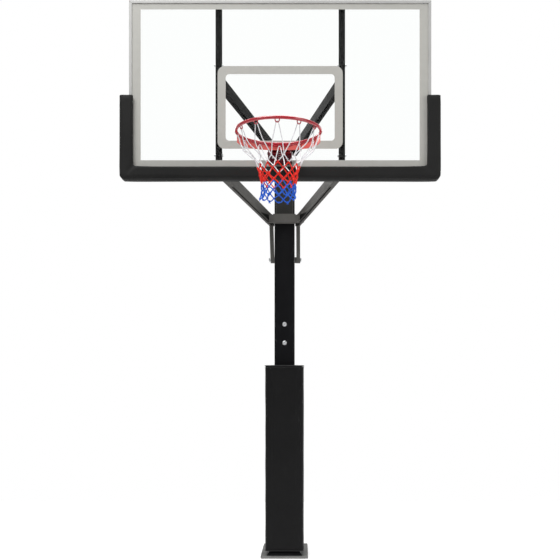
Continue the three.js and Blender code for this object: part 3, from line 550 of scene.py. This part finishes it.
def hard_edges(o, angle=35):
    """Smooth shading with creases kept sharp."""
    bm = bmesh.new()
    bm.from_mesh(o.data)
    lim = math.radians(angle)
    for e in bm.edges:
        if len(e.link_faces) == 2 and e.calc_face_angle(0) > lim:
            e.smooth = False
    bm.to_mesh(o.data)
    bm.free()
    return o


# ------------------------------------------------------------------ ring with its hooks, and its welds to the brace and neck
R_MM, ROD, RY, RZ = 0.2375, 0.009, -1.767, 2.690
ring_parts = []
pts = [(R_MM * math.cos(a), RY + R_MM * math.sin(a), RZ) for a in np.linspace(0, 2 * math.pi, 145)[:-1]]
v, f = tube_mesh(pts, ROD, 20, closed=True)
ring_parts.append((v, f, 0))
HOOK_W, HOOK_D = 0.0115, 0.019
HOOKS = []
for i in range(12):
    a = i * math.pi / 6 - math.pi / 2
    c, s = math.cos(a), math.sin(a)
    tx, ty = -s, c

    def place(along, inward, down):
        r = R_MM - inward
        return (r * c + tx * along, RY + r * s + ty * along, RZ - down)

    path = []
    for k in range(25):
        b = math.pi * k / 24
        x = HOOK_W * math.cos(b)
        z = 0.004 + HOOK_D * (math.sin(b) ** 0.55 if 0 < b < math.pi else 0)
        path.append(place(x, 0.004 + 0.006 * math.sin(b), z))
    v, f = tube_mesh(path, 0.0031, 10)
    ring_parts.append((v, f, 0))
    HOOKS.append(Vector(place(0, 0.010, 0.004 + HOOK_D)))
V, F, M = merge(ring_parts)
ring = make("rim_ring_round", V, F, "rim", MAT["red"])
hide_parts("rim_ring")

# weld fillets where the brace and the neck meet the ring
beads = []
for side in (-1, 1):
    p = []
    for k in range(40):
        a = side * (0.10 + k / 39 * 1.2)
        rr = R_MM - 0.0032
        p.append((rr * math.sin(a), RY + rr * math.cos(a), RZ - ROD - 0.0002 + 0.0006 * math.sin(k * 2.1)))
    v, f = tube_mesh(p, 0.0028 + 0.0004 * np.sin(np.arange(40) * 2.7), 8)
    beads.append((v, f, 0))
V, F, M = merge(beads)
make("ring_weld_beads", V, F, "rim", MAT["red"])


# ------------------------------------------------------------------ net
def net_radius(depth):
    """Outer radius of the hanging net at a depth below the ring's centre."""
    d = [0.025, 0.06, 0.105, 0.135, 0.150, 0.169, 0.20, 0.225, 0.262, 0.30, 0.34, 0.385, 0.41]
    r = [0.229, 0.220, 0.198, 0.166, 0.149, 0.128, 0.117, 0.1105, 0.102, 0.0955, 0.0935, 0.096, 0.098]
    return float(np.interp(depth, d, r))


ROWS = [0.164, 0.200, 0.233, 0.266, 0.299, 0.330, 0.360]
knots = {}
for row, depth in enumerate(ROWS):
    for i in range(12):
        half = 0.5 if row % 2 == 0 else 0.0
        a = (i + half) * math.pi / 6 - math.pi / 2 + rng.normal(0, 0.018)
        dz = rng.normal(0, 0.0035)
        r = net_radius(depth) + rng.normal(0, 0.0022)
        knots[row, i] = Vector((r * math.cos(a), RY + r * math.sin(a), RZ - depth - dz))


def bow(a, b, n, out, sag=0.0):
    """A strand from a to b, bowed outward from the net's axis and hanging a little."""
    pts = []
    for k in range(n + 1):
        t = k / n
        p = a.lerp(b, t)
        w = math.sin(math.pi * t)
        radial = Vector((p.x, p.y - RY, 0))
        if radial.length > 1e-6:
            p = p + radial.normalized() * out * w
        p = p - Vector((0, 0, sag * w))
        pts.append(tuple(p))
    return pts


def hang(a, b, n=18):
    """A long leg between a hook and a knot, which keeps to the bulging outline of the slack net."""
    pts = []
    for k in range(n + 1):
        t = k / n
        p = a.lerp(b, t)
        ang = math.atan2(p.y - RY, p.x)
        r = math.hypot(p.x, p.y - RY)
        w = math.sin(math.pi * t) ** 0.6
        r2 = r + (net_radius(RZ - p.z) - r) * w
        pts.append((r2 * math.cos(ang), RY + r2 * math.sin(ang), p.z))
    return pts


CORD = 0.0027
net_parts = []


def net_color(depth):
    return 0 if depth < 0.199 else (1 if depth < 0.298 else 2)


def add_strand(pts, radius=CORD):
    """A cord strand, split by colour where the net is dyed."""
    pts = np.array(pts)
    col = [net_color(RZ - z) for z in (pts[1:, 2] + pts[:-1, 2]) / 2]
    start = 0
    for i in range(1, len(col) + 1):
        if i == len(col) or col[i] != col[start]:
            seg = pts[start : i + 1]
            fat = 1.0 if col[start] == 0 else 1.18
            v, f = tube_mesh(seg, np.asarray(radius)[start : i + 1] * fat if np.ndim(radius) else radius * fat, 9, lobes=3, twist=2 * math.pi / 0.014 / 3, lobe=0.16)
            net_parts.append((v, f, col[start]))
            start = i


def knot(p, size=0.0042):
    """A tight knot: three short wraps of cord over one another."""
    c = net_color(RZ - p.z)
    radial = Vector((p.x, p.y - RY, 0)).normalized()
    side = Vector((-radial.y, radial.x, 0))
    up = Vector((0, 0, 1))
    for ax1, ax2, off in ((side + up * 0.7, radial, 0.0), (side - up * 0.7, radial, 0.0), (side, radial, -0.0028)):
        ax1 = ax1.normalized()
        path = []
        for k in range(13):
            b = 2 * math.pi * k / 12
            path.append(tuple(p + ax1 * (size * 0.95 * math.cos(b)) + ax2 * (size * 0.72 * math.sin(b)) + up * off))
        v, f = tube_mesh(path[:-1], CORD * 0.92, 7, closed=True)
        net_parts.append((v, f, c))


for i in range(12):
    hook = HOOKS[i] + Vector((0, 0, -0.0005))
    a = i * math.pi / 6 - math.pi / 2
    tang = Vector((-math.sin(a), math.cos(a), 0))
    radial = Vector((math.cos(a), math.sin(a), 0))
    left, right = knots[0, (i - 1) % 12], knots[0, i]
    # the loop passes over the bottom of the hook and each leg falls to a knot it shares with its neighbour
    top = []
    for k in range(9):
        b = math.pi * k / 8
        top.append(hook + tang * (-0.0075 * math.cos(b)) + radial * 0.0 + Vector((0, 0, 0.0085 * math.sin(b) - 0.003)))
    legL = hang(left, Vector(top[0]))
    legR = hang(Vector(top[-1]), right)
    add_strand([tuple(x) for x in legL[:-1]] + [tuple(x) for x in top] + [tuple(x) for x in legR[1:]])
for row in range(len(ROWS) - 1):
    for i in range(12):
        a = knots[row, i]
        if row % 2 == 0:
            lower = (knots[row + 1, i], knots[row + 1, (i + 1) % 12])
        else:
            lower = (knots[row + 1, (i - 1) % 12], knots[row + 1, i])
        for b in lower:
            add_strand(bow(a, b, 6, 0.0035 + rng.normal(0, 0.0015), rng.normal(0.0, 0.0012)))
for (row, i), p in knots.items():
    knot(p)
# the bottom loops and their loose tails
last = len(ROWS) - 1
for i in range(12):
    a = knots[last, i]
    b = knots[last, (i + 1) % 12]
    mid = a.lerp(b, 0.5)
    radial = Vector((mid.x, mid.y - RY, 0)).normalized()
    drop = 0.016 + rng.uniform(-0.004, 0.007)
    tip = mid + radial * (0.006 + rng.uniform(-0.004, 0.008)) - Vector((0, 0, drop))
    for p in (a, b):
        pts = []
        for k in range(9):
            t = k / 8
            q = p.lerp(tip, t)
            q = q - Vector((0, 0, 0.006 * math.sin(math.pi * t))) + radial * 0.003 * math.sin(math.pi * t)
            pts.append(tuple(q))
        add_strand(pts)
    knot(tip, 0.0045)
    if i % 2 == 0 or i in (3, 9):
        tang = Vector((-radial.y, radial.x, 0))
        for s in (-1, 1):
            L = rng.uniform(0.007, 0.015)
            pts = [tuple(tip + tang * (s * 0.35 * L * t) + radial * (0.12 * L * t * t) - Vector((0, 0, L * t))) for t in np.linspace(0, 1, 5)]
            add_strand(pts, np.linspace(CORD, CORD * 0.55, 5))
V, F, M = merge(net_parts)
net = make("net_cords", V, F, "rim", [MAT["net"], MAT["net_red"], MAT["net_blue"]], face_mats=M)
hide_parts(*[k for k in nodes if k.startswith("net")])


# ------------------------------------------------------------------ pads
def simulate(o, pressure, cap, frames=14, shrink=0.0, stiff=12.0, pin=None):
    """Inflates a closed mesh with the cloth solver, with gravity off, and caps how far a point may move."""
    rest = np.array([v.co for v in o.data.vertices], float)
    if pin is not None:
        g = o.vertex_groups.new(name="pin")
        for i, w in enumerate(pin):
            if w > 0:
                g.add([i], float(w), "REPLACE")
    c = o.modifiers.new("cloth", "CLOTH")
    st = c.settings
    st.quality = 3
    st.mass = 0.4
    st.tension_stiffness = stiff
    st.compression_stiffness = stiff
    st.shear_stiffness = stiff * 0.4
    st.bending_stiffness = 1.2
    st.use_pressure = True
    st.uniform_pressure_force = pressure
    st.effector_weights.gravity = 0.0
    if pin is not None:
        st.vertex_group_mass = "pin"
    c.collision_settings.use_collision = False
    c.point_cache.frame_start, c.point_cache.frame_end = 1, frames
    scene.frame_start, scene.frame_end = 1, frames
    for fr in range(1, frames + 1):
        scene.frame_set(fr)
    dg = bpy.context.evaluated_depsgraph_get()
    ev = o.evaluated_get(dg)
    me = ev.to_mesh()
    got = np.array([v.co for v in me.vertices], float)
    ev.to_mesh_clear()
    o.modifiers.remove(c)
    scene.frame_set(1)
    if len(got) != len(rest) or not np.isfinite(got).all():
        return o
    move = got - rest
    d = np.linalg.norm(move, axis=1)
    k = np.minimum(1, cap / np.maximum(d, 1e-9))
    out = rest + move * k[:, None]
    o.data.vertices.foreach_set("co", out.astype(np.float32).ravel())
    o.data.update()
    return o


def voxel(o, size):
    m = o.modifiers.new("remesh", "REMESH")
    m.mode = "VOXEL"
    m.voxel_size = size
    m.use_smooth_shade = True
    bake(o)
    return o


def bake(o):
    """Applies every modifier on a new piece."""
    dg = bpy.context.evaluated_depsgraph_get()
    me = bpy.data.meshes.new_from_object(o.evaluated_get(dg))
    old = o.data
    o.modifiers.clear()
    o.data = me
    bpy.data.meshes.remove(old)
    return o


def smooth_verts(o, steps, factor=0.5):
    bm = bmesh.new()
    bm.from_mesh(o.data)
    for _ in range(steps):
        bmesh.ops.smooth_vert(bm, verts=bm.verts, factor=factor, use_axis_x=True, use_axis_y=True, use_axis_z=True)
    bm.to_mesh(o.data)
    bm.free()
    o.data.update()


def extrude_xz(poly, y0, y1):
    n = len(poly)
    V = [(x, y0, z) for x, z in poly] + [(x, y1, z) for x, z in poly]
    F = [tuple(range(n)), tuple(range(2 * n - 1, n - 1, -1))]
    F += [((i + 1) % n, i, n + i, n + (i + 1) % n) for i in range(n)]
    return V, F


# board pad: a thick U of foam round the board's lower edge
bx, bi = 0.969, 0.886
z0, zi, z1 = 2.515, 2.596, 3.0265
yf, yb = -1.413, -1.340
outer = [(-bx, z1), (-bx, zi), (-bx, z0 + .018), (-bx + .018, z0), (-bi, z0), (bi, z0), (bx - .018, z0), (bx, z0 + .018), (bx, zi), (bx, z1)]
inner = [(-bi, z1), (-bi, zi), (-bi, zi), (-bi, zi), (-bi, zi), (bi, zi), (bi, zi), (bi, zi), (bi, zi), (bi, z1)]
V = [(x, y, z) for y in (yf, yb) for ring in (outer, inner) for x, z in ring]
F = []
for i in range(9):
    o0, o1, i0, i1 = i, i + 1, 10 + i, 11 + i
    F += [(o0, i0, i1, o1), (20 + o0, 20 + o1, 20 + i1, 20 + i0), (o0, o1, 20 + o1, 20 + o0), (i0, 20 + i0, 20 + i1, i1)]
F += [(0, 20, 30, 10), (9, 19, 39, 29)]
bp = make("board_pad_foam", V, F, None, MAT["pad"])
clean(bp)
# the channel that takes the frame's edge
cutters = []
for box in (
    ((-0.9148, -1.3924, 2.5346), (0.9148, -1.3516, 3.30)),
    ((-0.902, -1.357, 2.540), (0.902, -1.30, 3.30)),
    ((-0.400, -1.357, 2.540), (-0.352, -1.30, 3.30)),
    ((0.352, -1.357, 2.540), (0.400, -1.30, 3.30)),
):
    (ax, ay, az), (bxx, byy, bzz) = box
    V = [(x, y, z) for x in (ax, bxx) for y in (ay, byy) for z in (az, bzz)]
    F = [(0, 1, 3, 2), (4, 6, 7, 5), (0, 4, 5, 1), (2, 3, 7, 6), (0, 2, 6, 4), (1, 5, 7, 3)]
    co = make("cutter", V, F, None, MAT["pad"])
    clean(co)
    cutters.append(co)
    b = bp.modifiers.new("cut", "BOOLEAN")
    b.operation = "DIFFERENCE"
    b.solver = "EXACT"
    b.object = co
bake(bp)
for co in cutters:
    bpy.data.objects.remove(co)
voxel(bp, 0.0065)
smooth_verts(bp, 2, 0.5)
co = np.array([v.co for v in bp.data.vertices])
# the faces that grip the frame stay put, and the free skin swells
inner = (np.abs(co[:, 0]) < 0.920) & (co[:, 1] > -1.3955) & (co[:, 2] > 2.530)
simulate(bp, 3.0, 0.004, pin=np.where(inner, 1.0, 0.0))
sub = bp.modifiers.new("sub", "SUBSURF")
sub.levels = sub.render_levels = 1
bake(bp)
bp.data.polygons.foreach_set("use_smooth", [True] * len(bp.data.polygons))
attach(bp, "backboard")
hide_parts("board_pad")

# pole pad: a square foam sleeve in a vinyl cover
PW, PR, PZ0, PZ1 = 0.145, 0.016, 0.047, 1.452


def round_square(h, r, n=8):
    pts = []
    for cx, cy, a0 in ((h - r, h - r, 0), (-h + r, h - r, 90), (-h + r, -h + r, 180), (h - r, -h + r, 270)):
        for k in range(n + 1):
            a = math.radians(a0 + 90 * k / n)
            pts.append((cx + r * math.cos(a), cy + r * math.sin(a)))
    return pts


def sleeve(name, outer, outer_r, inner, z0, z1, mats, edge=0.008):
    """A square tube of foam with rolled edges, as rings of an outer and an inner rounded square."""
    rings = []
    n = 8
    prof = [(inner, z0 + edge), (inner + edge * 0.3, z0 + edge * 0.25), (inner + edge, z0), (outer - edge, z0), (outer - edge * 0.28, z0 + edge * 0.28), (outer, z0 + edge)]
    steps = 60
    prof += [(outer, z0 + edge + (z1 - z0 - 2 * edge) * k / steps) for k in range(1, steps)]
    prof += [(outer, z1 - edge), (outer - edge * 0.28, z1 - edge * 0.28), (outer - edge, z1), (inner + edge, z1), (inner + edge * 0.3, z1 - edge * 0.25), (inner, z1 - edge)]
    V = []
    for h, z in prof:
        r = max(0.004, outer_r - (outer - h))
        sq = []
        for cx, cy, a0 in ((h - r, h - r, 0), (-h + r, h - r, 90), (-h + r, -h + r, 180), (h - r, -h + r, 270)):
            for k in range(n + 1):
                a = math.radians(a0 + 90 * k / n)
                sq.append((cx + r * math.cos(a), cy + r * math.sin(a)))
        # straight sides get extra stations, so that the skin can swell
        full = []
        for i, p in enumerate(sq):
            q = sq[(i + 1) % len(sq)]
            full.append(p)
            L = math.dist(p, q)
            if (i + 1) % (n + 1) == 0:
                for k in range(1, 12):
                    full.append((p[0] + (q[0] - p[0]) * k / 12, p[1] + (q[1] - p[1]) * k / 12))
        rings.append(len(full))
        V.extend((x, y, z) for x, y in full)
    c = rings[0]
    F = []
    m = len(prof)
    for i in range(m):
        j = (i + 1) % m
        for k in range(c):
            q = (k + 1) % c
            F.append((i * c + k, i * c + q, j * c + q, j * c + k))
    return make(name, V, F, None, mats)


pp = sleeve("pole_pad_cover", PW - (0.002), PR, 0.0862, PZ0, PZ1, MAT["pad_pole"])
clean(pp)
voxel(pp, 0.0085)
smooth_verts(pp, 1, 0.5)
co = np.array([v.co for v in pp.data.vertices])
h = np.maximum(np.abs(co[:, 0]), np.abs(co[:, 1]))
inner = h < 0.100
simulate(pp, 4.0, 0.003, pin=np.where(inner, 1.0, 0.0))
sub = pp.modifiers.new("sub", "SUBSURF")
sub.levels = sub.render_levels = 1
bake(pp)
# slow waves in the skin, fading out towards each corner seam
co = np.array([v.co for v in pp.data.vertices])
face = np.abs(np.abs(co[:, 0]) - np.abs(co[:, 1])) / 0.145
wave = 0.0006 * np.sin(co[:, 2] * 9.0 + co[:, 0] * 7.0) * np.sin(co[:, 2] * 3.1 + 1.3) + 0.0006 * np.sin(co[:, 2] * 23.0 + co[:, 1] * 31.0 + 0.7)
out = np.maximum(np.abs(co[:, 0]), np.abs(co[:, 1])) > 0.12
n = np.zeros_like(co)
ax = np.abs(co[:, 0]) > np.abs(co[:, 1])
n[ax, 0] = np.sign(co[ax, 0])
n[~ax, 1] = np.sign(co[~ax, 1])
co += n * (wave * np.clip(face * 3, 0, 1) * out)[:, None]
pp.data.vertices.foreach_set("co", co.astype(np.float32).ravel())
pp.data.update()
pp.data.polygons.foreach_set("use_smooth", [True] * len(pp.data.polygons))
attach(pp, "pole")
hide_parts("pole_pad")


# bound edge at the top and bottom of the cover, and the overlapping closure with its stitches at the back
def welt(z, h, r):
    loop = [(x, y, z) for x, y in round_square(h, 0.02, 8)]
    return tube_mesh(loop, r, 8, closed=True)


trim = [welt(PZ1 - 0.006, PW + 0.0008, 0.0026), welt(PZ1 - 0.021, PW + 0.0006, 0.0012), welt(PZ0 + 0.008, PW + 0.0008, 0.0026)]
V, F, M = merge([(v, f, 0) for v, f in trim])
make("pole_pad_binding", V, F, "pole", MAT["binding"])
flap = []
nz = 90
for side, (xa, xb) in enumerate(((-0.034, 0.030),)):
    V, F = [], []
    for i in range(nz + 1):
        z = PZ0 + 0.012 + (PZ1 - PZ0 - 0.024) * i / nz
        w = 0.0009 * math.sin(z * 41) + 0.0006 * math.sin(z * 97 + 1)
        for x, y in ((xa, 0.1446), (xa + 0.001, 0.1478 + w * 0.4), (xa + 0.006, 0.1486), (xb - 0.006 + w, 0.1487), (xb + w, 0.1480 + w * 0.3), (xb + 0.001 + w, 0.1446)):
            V.append((x, y, z))
    for i in range(nz):
        for k in range(5):
            a0 = i * 6 + k
            F.append((a0, a0 + 6, a0 + 7, a0 + 1))
        F.append((i * 6 + 5, i * 6 + 11, i * 6 + 6, i * 6))
    F.append((0, 1, 2, 3, 4, 5))
    F.append(tuple(nz * 6 + k for k in (5, 4, 3, 2, 1, 0)))
    flap.append((V, F))
V, F, M = merge([(v, f, 0) for v, f in flap])
fl = make("pole_pad_closure", V, F, "pole", MAT["binding"])
hard_edges(clean(fl), 50)
st = []
for x in (-0.0285, 0.0235):
    z = PZ0 + 0.02
    while z < PZ1 - 0.026:
        st.append(tube_mesh([(x, 0.1484, z), (x, 0.1492, z + 0.0012), (x, 0.1492, z + 0.0046), (x, 0.1484, z + 0.0058)], 0.0006, 5))
        z += 0.0076
V, F, M = merge([(v, f, 0) for v, f in st])
make("pole_pad_stitches", V, F, "pole", MAT["pad_thread"])


# ------------------------------------------------------------------ fasteners with real heads and threads
def bolt_piece(name, parts, body, replaced=(), mat="zinc"):
    V, F, M = merge([(v, f, 0) for v, f in parts])
    o = make(name, V, F, body, MAT[mat])
    hard_edges(clean(o, 1e-6), 30)
    if replaced:
        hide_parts(*replaced)
    return o


def dome(point, axis, r, h):
    prof = [(0, 0), (r * 0.97, 0), (r, h * 0.12), (r * 0.985, h * 0.25)]
    for k in range(1, 9):
        a = math.pi / 2 * k / 8
        prof.append((r * 0.985 * math.cos(a), h * 0.25 + h * 0.75 * math.sin(a)))
    prof[-1] = (0, h)
    return lathe_mesh(prof, point, axis, 36)


for z, nm in ((1.762, "splice_bolt_upper"), (1.621, "splice_bolt_lower")):
    bolt_piece(nm + "_detail", [
        dome((0, -0.0765, z), (0, -1, 0), 0.0145, 0.0078),
        lathe_mesh([(0, 0), (0.0165, 0), (0.0172, 0.0006), (0.0165, 0.0012), (0, 0.0012)], (0, -0.0765, z), (0, -1, 0), 36),
        lathe_mesh([(0, 0), (0.0078, 0), (0.0078, 0.154), (0, 0.154)], (0, -0.077, z), (0, 1, 0), 20),
        hex_mesh((0, 0.0765, z), (0, 1, 0), 0.024, 0.011),
        thread_mesh((0, 0.0765, z), (0, 1, 0), 0.0078, 0.0185, 0.002, 0.0009),
    ], "pole", [nm])
for i, (x, y) in enumerate([(-.13, .19), (.13, .19), (-.13, .4), (.13, .4)]):
    bolt_piece(f"anchor_{i+1}_detail", [
        lathe_mesh([(0, 0), (0.019, 0), (0.0193, 0.0015), (0.019, 0.003), (0, 0.003)], (x, y, 0.0163), (0, 0, 1), 36),
        hex_mesh((x, y, 0.0193), (0, 0, 1), 0.0285, 0.0155, washer=False, turn=0.4 * i),
        thread_mesh((x, y, 0.0008), (0, 0, 1), 0.0095, 0.0512, 0.0025, 0.0011),
    ], "pole", [f"anchor_bolt_{i+1}"])
for z, half, nm in ((2.566, 0.134, "lower_pivot_bolt"), (3.111, 0.113, "upper_pivot_bolt")):
    bolt_piece(nm + "_detail", [
        lathe_mesh([(0, 0), (0.012, 0), (0.012, 2 * half), (0, 2 * half)], (-half, 0, z), (1, 0, 0), 28),
        hex_mesh((half, 0, z), (1, 0, 0), 0.034, 0.0115, washer=True),
        hex_mesh((-half, 0, z), (-1, 0, 0), 0.034, 0.0115, washer=True),
        thread_mesh((half, 0, z), (1, 0, 0), 0.0115, 0.0165, 0.0025, 0.001),
    ], "pole", [nm])
# cross bolts through the struts, at the top of each clevis
cb = []
for sx in (-1, 1):
    for z in (3.228, 2.678):
        x = sx * 0.376
        y = -1.3327
        for d in (-1, 1):
            cb.append(hex_mesh((x + d * 0.0192, y, z), (d, 0, 0), 0.015, 0.0062, washer=True))
        cb.append(thread_mesh((x + sx * 0.0192, y, z), (sx, 0, 0), 0.0045, 0.0105, 0.00125, 0.0005, 14))
bolt_piece("strut_cross_bolts", cb, "backboard")
for x, nm in ((-0.042, "rim_bolt_left"), (0.042, "rim_bolt_right")):
    bolt_piece(nm + "_detail", [
        lathe_mesh([(0, 0), (0.008, 0), (0.008, 0.04), (0, 0.04)], (x, -1.396, 2.634), (0, 1, 0), 24),
        hex_mesh((x, -1.3929, 2.634), (0, -1, 0), 0.0235, 0.0075, washer=True),
        hex_mesh((x, -1.3674, 2.634), (0, 1, 0), 0.0235, 0.0085, washer=True),
    ], "backboard", [nm])


# ------------------------------------------------------------------ welds and caps
def bead(path, r=0.0035, seed=0):
    g = np.random.default_rng(seed)
    p = np.array(path, float)
    L = np.concatenate([[0], np.cumsum(np.linalg.norm(np.diff(p, axis=0), axis=1))])
    n = max(6, int(L[-1] / 0.0022))
    s = np.linspace(0, L[-1], n)
    q = np.stack([np.interp(s, L, p[:, k]) for k in range(3)], 1)
    rad = r * (1 + 0.13 * np.sin(s / 0.0042 * 2 * math.pi) + g.normal(0, 0.02, n))
    return tube_mesh(q, rad, 8)


def square_loop(h, z, r=0.009):
    pts = round_square(h, r, 5)
    pts.append(pts[0])
    return [(x, y, z) for x, y in pts]


welds = [bead(square_loop(0.0774, 0.0459), 0.004, 1)]
V, F, M = merge([(v, f, 0) for v, f in welds])
make("foot_weld", V, F, "pole", MAT["weld"])
V, F, M = merge([(v, f, 0) for v, f in (
    bead([(-.0622, -.0768, 2.600), (-.0622, -.0768, 2.976)], 0.0032, 2),
    bead([(.0622, -.0768, 2.600), (.0622, -.0768, 2.976)], 0.0032, 3),
)])
make("head_plate_weld", V, F, "pole", MAT["weld_grey"])

# plastic plugs in the open ends of the struts
plugs = []
for sx in (-1, 1):
    for z, up in ((3.592, 1), (2.545, -1)):
        c = Vector((sx * 0.376, -1.3327, z))
        rings = []
        V, F = [], []
        for h, w in ((0.0002, 0.0188), (0.0022, 0.0188), (0.0032, 0.0178), (0.0034, 0.010)):
            base_i = len(V)
            V += [c + Vector((a * w, b_ * w, up * h)) for a, b_ in ((-1, -1), (1, -1), (1, 1), (-1, 1))]
            rings.append(base_i)
        for r0, r1 in zip(rings, rings[1:]):
            for k in range(4):
                F.append((r0 + k, r0 + (k + 1) % 4, r1 + (k + 1) % 4, r1 + k))
        F.append(tuple(rings[0] + k for k in (3, 2, 1, 0)))
        F.append(tuple(rings[-1] + k for k in range(4)))
        plugs.append((V, F, 0))
V, F, M = merge(plugs)
pl = make("strut_end_plugs", V, F, "backboard", MAT["cap"])
hard_edges(clean(pl), 25)

# black plates on the inner face of each lower arm's root: painted shadow, standing for the shade that falls on the
# arm's face near the pole
def plate_mesh(poly3, normal, t):
    n = Vector(normal).normalized() * t
    k = len(poly3)
    V = [Vector(p) for p in poly3] + [Vector(p) + n for p in poly3]
    F = [tuple(range(k - 1, -1, -1)), tuple(range(k, 2 * k))]
    F += [(i, (i + 1) % k, k + (i + 1) % k, k + i) for i in range(k)]
    return V, F


AX, AY = 0.2085, 0.978
for side in (-1, 1):
    def inner_face(y, z, off=0.0194):
        # the arm's centre line is at |X| = 0.107 + 0.2132 * -y; its inner face lies half a width nearer the middle
        x = 0.107 + 0.2132 * -y - off / AY
        return (side * x, y, z)

    rise = 0.0333
    bot = lambda y: 2.566 - y * rise - 0.0375
    top = lambda y: 2.566 - y * rise + 0.0365
    # the plates' level top edge at z 2.5795 is the edge of that painted shadow on the arm's inner face
    P = [inner_face(-0.365, bot(-0.365) + 0.004), inner_face(-0.052, bot(-0.052) + 0.004), inner_face(-0.052, top(-0.052)),
         inner_face(-0.125, 2.5795), inner_face(-0.350, bot(-0.350) + 0.010)]
    if side > 0:
        P = P[::-1]
    parts = [plate_mesh(P, (-side * AY, -AX, 0), 0.003)]
    V, F, M = merge([(v, f, 0) for v, f in parts])
    g = make("arm_painted_shadow_left" if side < 0 else "arm_painted_shadow_right", V, F, "lower_arms", MAT["arm_black"])
    bev = g.modifiers.new("edges", "BEVEL")
    bev.width = 0.0008
    bev.segments = 2
    clean(g)
    hard_edges(g, 30)

# ------------------------------------------------------------------ floor
bpy.ops.mesh.primitive_plane_add(size=7, location=(0, 0, 0))
floor = bpy.context.object
floor.name = "floor"
fm, n, l, b = base_material("floor")
c = n.new("ShaderNodeTexCoord").outputs["Object"]
l.new(ramp(n, l, noise_tex(n, l, c, 1.5, 3, 0.5), [(0.3, (0.93, 0.93, 0.93)), (0.7, (0.96, 0.96, 0.96))]), b.inputs["Base Color"])
b.inputs["Roughness"].default_value = 0.9
b.inputs["Emission Color"].default_value = (1, 1, 1, 1)
b.inputs["Emission Strength"].default_value = 0.3
floor.data.materials.append(fm)
floor.location.z = -0.0005
